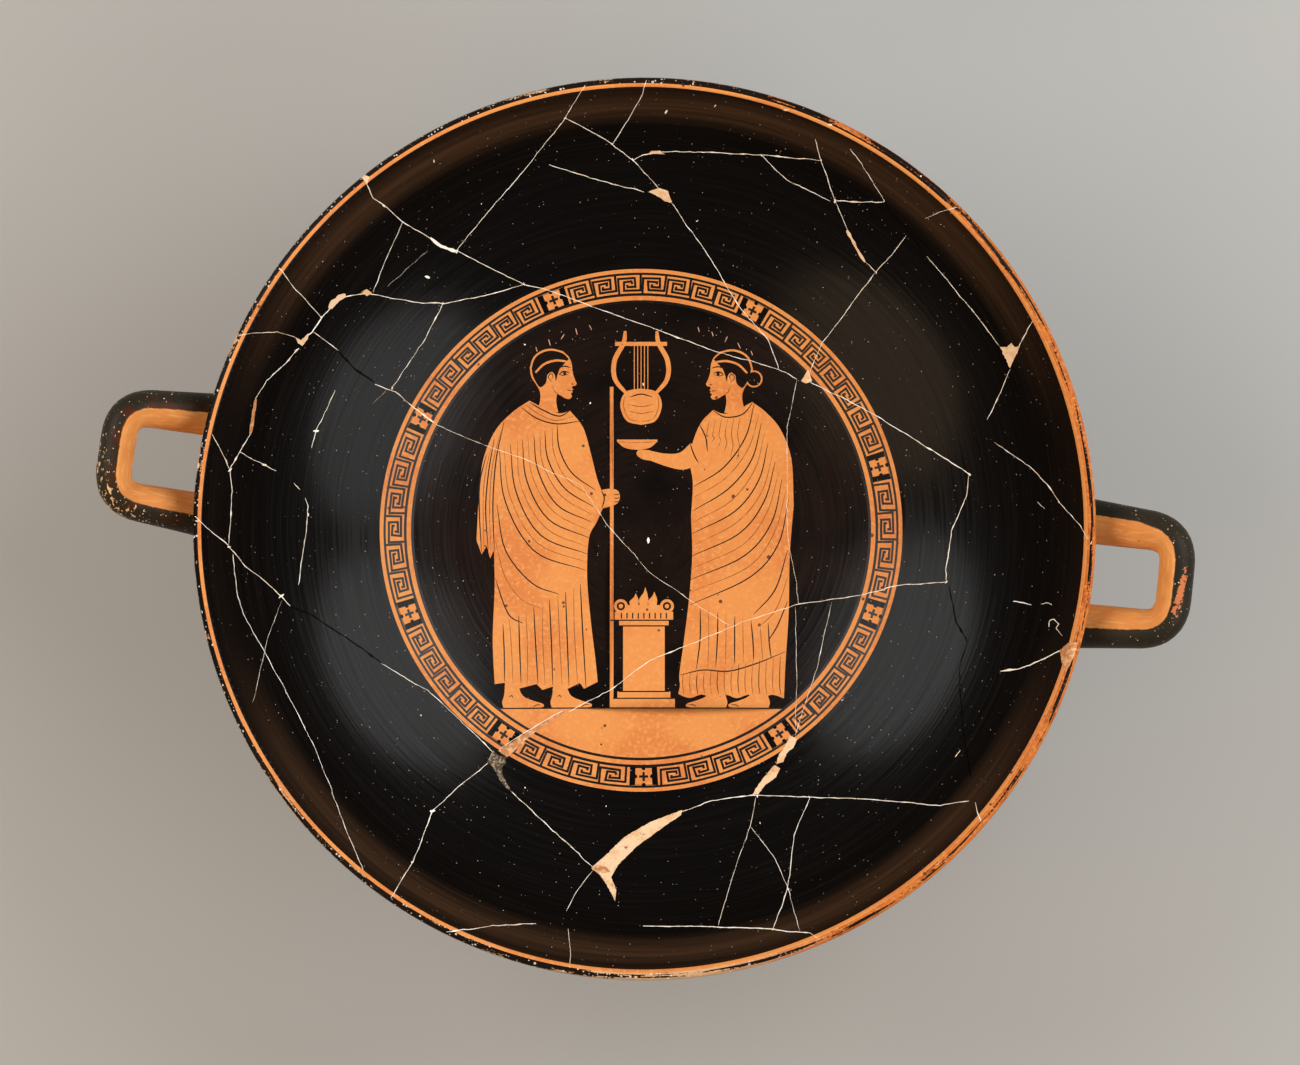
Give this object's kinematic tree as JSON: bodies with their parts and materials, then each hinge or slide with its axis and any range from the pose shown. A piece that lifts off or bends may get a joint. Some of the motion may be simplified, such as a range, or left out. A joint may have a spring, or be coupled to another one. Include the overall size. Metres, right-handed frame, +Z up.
{
  "type": "greek kylix cup",
  "caption": "Wide shallow drinking cup of painted fired clay on a stem and disc foot, with loop handles below the lip, for holding and pouring wine.",
  "frame": {"origin": "on the table, under the middle of the foot", "axes": "+Z up along the axis the cup was thrown on, +X towards one handle, +Y across the handles"},
  "size_m": [0.3786, 0.31, 0.1284],
  "materials": {
    "fired_clay": "black gloss slip over orange clay, worn at the lip and handles, with mended breaks"
  },
  "bodies": {
    "root": {"kylix": "fired_clay"}
  },
  "joints": []
}
